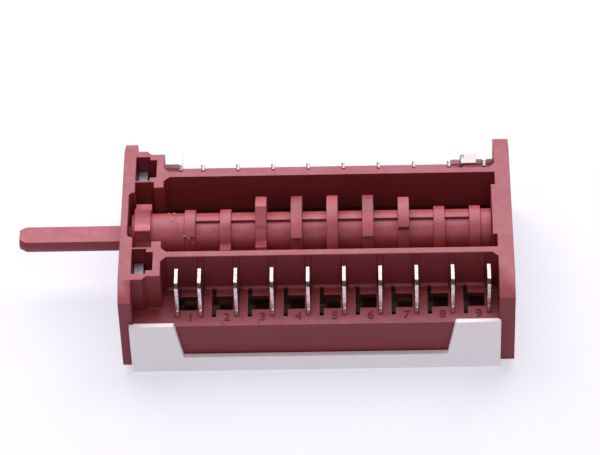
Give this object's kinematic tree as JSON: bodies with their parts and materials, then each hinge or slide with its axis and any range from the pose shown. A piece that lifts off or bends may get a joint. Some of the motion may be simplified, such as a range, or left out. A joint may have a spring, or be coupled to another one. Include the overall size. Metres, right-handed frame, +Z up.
{
  "type": "oven selector switch",
  "caption": "Rotary oven selector switch: a cam drum with a D-spindle turns in an open moulded housing between two rows of blade terminals, on a clip-on base.",
  "frame": {"origin": "on the spindle's axis at the front plate's outer face, midway between the two fixing holes", "axes": "+X along the spindle's axis towards the rear of the housing, +Z up out of the open top, +Y across the housing"},
  "size_m": [0.1169, 0.0546, 0.0272],
  "materials": {
    "housing_plastic": "matte",
    "cam_plastic": "matte",
    "base_plastic": "matte",
    "nut_steel": "satin",
    "spring_steel": "satin",
    "tinned_brass": "satin",
    "contact_bronze": "satin",
    "rivet_brass": "satin",
    "silver": "satin"
  },
  "bodies": {
    "switch_body": {"housing": "housing_plastic", "base_cover": "base_plastic", "screw_nuts": "nut_steel", "detent_spring": "spring_steel", "terminal_front_1": "tinned_brass", "terminal_front_2": "tinned_brass", "terminal_front_3": "tinned_brass", "terminal_front_4": "tinned_brass", "terminal_front_5": "tinned_brass", "terminal_front_6": "tinned_brass", "terminal_front_7": "tinned_brass", "terminal_front_8": "tinned_brass", "terminal_front_9": "tinned_brass", "blade_front_1": "contact_bronze", "blade_front_2": "contact_bronze", "blade_front_3": "contact_bronze", "blade_front_4": "contact_bronze", "blade_front_5": "contact_bronze", "blade_front_6": "contact_bronze", "blade_front_7": "contact_bronze", "blade_front_8": "contact_bronze", "blade_front_9": "contact_bronze", "bus_bar_front": "tinned_brass", "bus_buttons_front": "silver", "blade_buttons_front": "silver", "blade_rivets_front": "rivet_brass", "terminal_rear_1": "tinned_brass", "terminal_rear_2": "tinned_brass", "terminal_rear_3": "tinned_brass", "terminal_rear_4": "tinned_brass", "terminal_rear_5": "tinned_brass", "terminal_rear_6": "tinned_brass", "terminal_rear_7": "tinned_brass", "terminal_rear_8": "tinned_brass", "terminal_rear_9": "tinned_brass", "blade_rear_1": "contact_bronze", "blade_rear_2": "contact_bronze", "blade_rear_3": "contact_bronze", "blade_rear_4": "contact_bronze", "blade_rear_5": "contact_bronze", "blade_rear_6": "contact_bronze", "blade_rear_7": "contact_bronze", "blade_rear_8": "contact_bronze", "blade_rear_9": "contact_bronze", "bus_bar_rear": "tinned_brass", "bus_buttons_rear": "silver", "blade_buttons_rear": "silver", "blade_rivets_rear": "rivet_brass"},
    "cam_drum": {"camshaft": "cam_plastic"}
  },
  "joints": [
    {"name": "spindle_turn", "type": "hinge", "parent": "switch_body", "child": "cam_drum", "pos_m": [0, 0, 0], "axis": [1, 0, 0], "continuous": true, "deforming": ["blade_front_1", "blade_front_2", "blade_front_3", "blade_front_4", "blade_front_5", "blade_front_6", "blade_front_7", "blade_front_8", "blade_front_9", "blade_buttons_front", "blade_rear_1", "blade_rear_2", "blade_rear_3", "blade_rear_4", "blade_rear_5", "blade_rear_6", "blade_rear_7", "blade_rear_8", "blade_rear_9", "blade_buttons_rear", "detent_spring"]}
  ]
}
